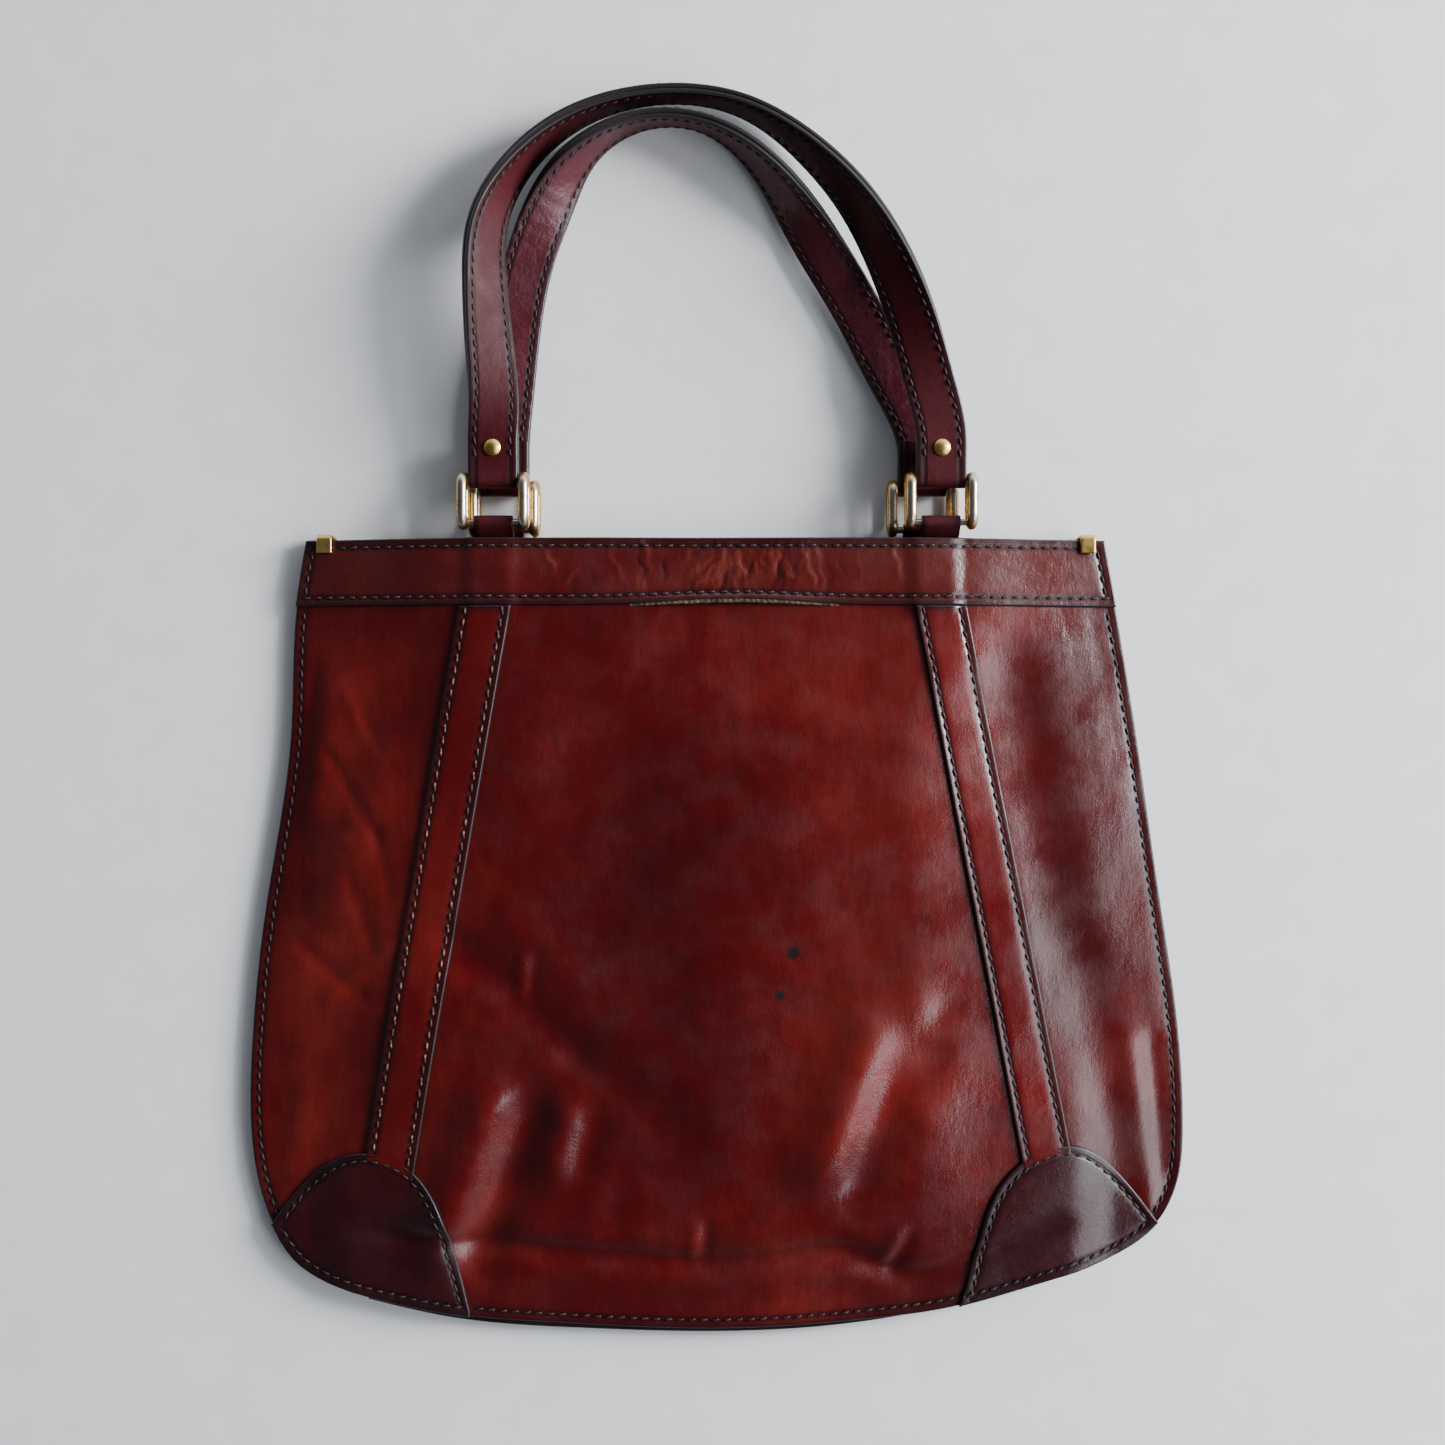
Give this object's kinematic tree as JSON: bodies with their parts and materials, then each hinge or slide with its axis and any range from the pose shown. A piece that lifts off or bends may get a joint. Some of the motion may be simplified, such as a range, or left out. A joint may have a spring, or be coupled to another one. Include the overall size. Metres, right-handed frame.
{
  "type": "handbag",
  "caption": "Soft flat leather handbag lying on its back, with an open mouth and a strap handle on each side held by brass rings that swing.",
  "frame": {"origin": "in the middle of the back band's flat outer face, which the bag rests on", "axes": "+X to the bag's right, +Y from its bottom to its handles, +Z out of its front"},
  "size_m": [0.3455, 0.4589, 0.0268],
  "materials": {
    "leather": "burnished oxblood calf with a soft gloss, creased and scuffed",
    "trim_leather": "darker burnished oxblood calf",
    "handle_leather": "burnished strap leather with dark painted edges",
    "lining": "plain woven cotton",
    "brass": "polished brass with light tarnish",
    "plated_brass": "gold plating worn to nickel, with dark tarnish in the bends"
  },
  "bodies": {
    "bag": {"front_panel": "leather", "back_panel": "leather", "front_band": "leather", "back_band": "leather", "front_strip_left": "leather", "front_strip_right": "leather", "back_strip_left": "leather", "back_strip_right": "leather", "front_patch_left": "trim_leather", "front_patch_right": "trim_leather", "back_patch_left": "trim_leather", "back_patch_right": "trim_leather", "base_gusset": "trim_leather", "front_lining": "lining", "back_lining": "lining", "slip_pocket": "lining", "front_tab_left": "trim_leather", "front_tab_right": "trim_leather", "back_tab_left": "trim_leather", "back_tab_right": "trim_leather", "clip_left": "brass", "clip_right": "brass"},
    "ring_front_left": {"ring_front_left": "plated_brass"},
    "ring_front_right": {"ring_front_right": "plated_brass"},
    "ring_back_left": {"ring_back_left": "plated_brass"},
    "ring_back_right": {"ring_back_right": "plated_brass"},
    "handle_front": {"front_handle_strap": "handle_leather", "front_handle_backing": "handle_leather", "front_handle_rivets": "brass"},
    "handle_back": {"back_handle_strap": "handle_leather", "back_handle_backing": "handle_leather", "back_handle_rivets": "brass"}
  },
  "joints": [
    {"name": "front_ring_left_swing", "type": "hinge", "parent": "bag", "child": "ring_front_left", "pos_m": [-0.0792, 0.0175, 0.0164], "axis": [1, 0, 0], "range_deg": [0, 90]},
    {"name": "front_ring_right_swing", "type": "hinge", "parent": "bag", "child": "ring_front_right", "pos_m": [0.0832, 0.0175, 0.0164], "axis": [1, 0, 0], "range_deg": [0, 90]},
    {"name": "front_handle_swing", "type": "hinge", "parent": "ring_front_left", "child": "handle_front", "pos_m": [-0.0792, 0.0331, 0.0164], "axis": [1, 0, 0], "range_deg": [0, 90]},
    {"name": "back_ring_left_swing", "type": "hinge", "parent": "bag", "child": "ring_back_left", "pos_m": [-0.0766, 0.0159, 0.0058], "axis": [1, 0, 0], "range_deg": [-45, 0]},
    {"name": "back_ring_right_swing", "type": "hinge", "parent": "bag", "child": "ring_back_right", "pos_m": [0.0777, 0.0159, 0.0058], "axis": [1, 0, 0], "range_deg": [-45, 0]},
    {"name": "back_handle_swing", "type": "hinge", "parent": "ring_back_left", "child": "handle_back", "pos_m": [-0.0766, 0.0315, 0.0058], "axis": [1, 0, 0], "range_deg": [-90, 0]}
  ],
  "couplings": [
    {"joint": "front_ring_right_swing", "follows": "front_ring_left_swing", "ratio": 1},
    {"joint": "back_ring_right_swing", "follows": "back_ring_left_swing", "ratio": 1}
  ]
}
